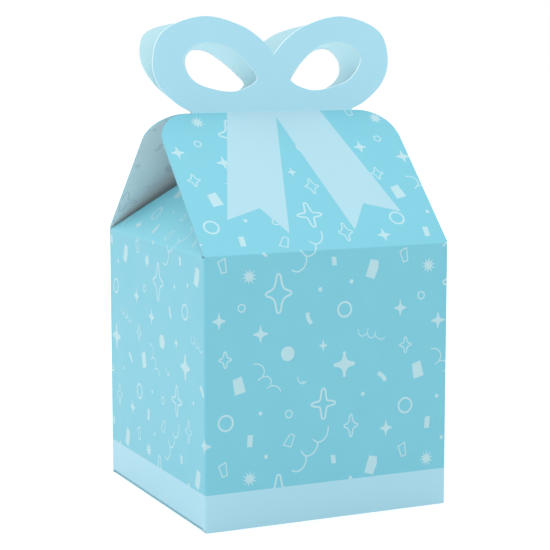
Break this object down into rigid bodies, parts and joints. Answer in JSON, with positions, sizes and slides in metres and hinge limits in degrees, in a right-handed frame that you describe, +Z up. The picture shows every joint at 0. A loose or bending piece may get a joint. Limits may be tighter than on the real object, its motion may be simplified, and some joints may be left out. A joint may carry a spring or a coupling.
{
  "type": "gift box",
  "caption": "Folded paperboard gift box with a square body, gabled roof panels, tucked base and a double-loop bow made from the roof panels' own card.",
  "frame": {"origin": "centre of the base, on the surface the box stands on", "axes": "+Z up; the front, with the ribbon tails, faces -Y; +X to the right seen from the front"},
  "size_m": [0.0776, 0.0762, 0.1419],
  "materials": {
    "printed_card": "sky-blue printed paperboard with pale confetti, satin coating",
    "band_card": "pale blue printed paperboard, satin coating",
    "bow_card": "pale blue printed paperboard, satin coating",
    "plain_card": "unprinted grey-blue inner face, matt"
  },
  "bodies": {
    "box_body": {"front_wall": "printed_card", "back_wall": "printed_card", "left_wall": "printed_card", "right_wall": "printed_card", "glue_flap": "plain_card"},
    "front_roof": {"front_roof_panel": "printed_card"},
    "back_roof": {"back_roof_panel": "printed_card"},
    "front_bow": {"front_bow": "bow_card"},
    "back_bow": {"back_bow": "bow_card"},
    "left_gusset": {"left_gusset_flap": "printed_card"},
    "right_gusset": {"right_gusset_flap": "printed_card"},
    "bottom_panel": {"bottom_panel": "band_card"},
    "tuck_tab": {"bottom_tuck_tab": "band_card"},
    "left_dust_flap": {"left_dust_flap": "band_card"},
    "right_dust_flap": {"right_dust_flap": "band_card"}
  },
  "joints": [
    {"name": "front_roof_crease", "type": "hinge", "parent": "box_body", "child": "front_roof", "pos_m": [0, -0.03785, 0.077], "axis": [1, 0, 0], "range_deg": [0, 130]},
    {"name": "back_roof_crease", "type": "hinge", "parent": "box_body", "child": "back_roof", "pos_m": [0, 0.03785, 0.077], "axis": [-1, 0, 0], "range_deg": [0, 130]},
    {"name": "front_bow_crease", "type": "hinge", "parent": "front_roof", "child": "front_bow", "pos_m": [0, -0.0004, 0.114], "axis": [1, 0, 0], "range_deg": [0, 70]},
    {"name": "back_bow_crease", "type": "hinge", "parent": "back_roof", "child": "back_bow", "pos_m": [0, 0.0004, 0.114], "axis": [-1, 0, 0], "range_deg": [-23, 40]},
    {"name": "left_gusset_crease", "type": "hinge", "parent": "box_body", "child": "left_gusset", "pos_m": [-0.03785, 0, 0.077], "axis": [0, -1, 0], "range_deg": [-58, 127]},
    {"name": "right_gusset_crease", "type": "hinge", "parent": "box_body", "child": "right_gusset", "pos_m": [0.03785, 0, 0.077], "axis": [0, 1, 0], "range_deg": [-58, 127]},
    {"name": "bottom_panel_crease", "type": "hinge", "parent": "box_body", "child": "bottom_panel", "pos_m": [0, 0.03785, 0.00025], "axis": [1, 0, 0], "range_deg": [0, 110]},
    {"name": "tuck_tab_crease", "type": "hinge", "parent": "bottom_panel", "child": "tuck_tab", "pos_m": [0, -0.037, 0.00025], "axis": [-1, 0, 0], "range_deg": [0, 25]},
    {"name": "left_dust_flap_crease", "type": "hinge", "parent": "box_body", "child": "left_dust_flap", "pos_m": [-0.03785, 0, 0.00085], "axis": [0, 1, 0], "range_deg": [-30, 0]},
    {"name": "right_dust_flap_crease", "type": "hinge", "parent": "box_body", "child": "right_dust_flap", "pos_m": [0.03785, 0, 0.00085], "axis": [0, -1, 0], "range_deg": [-30, 0]}
  ]
}
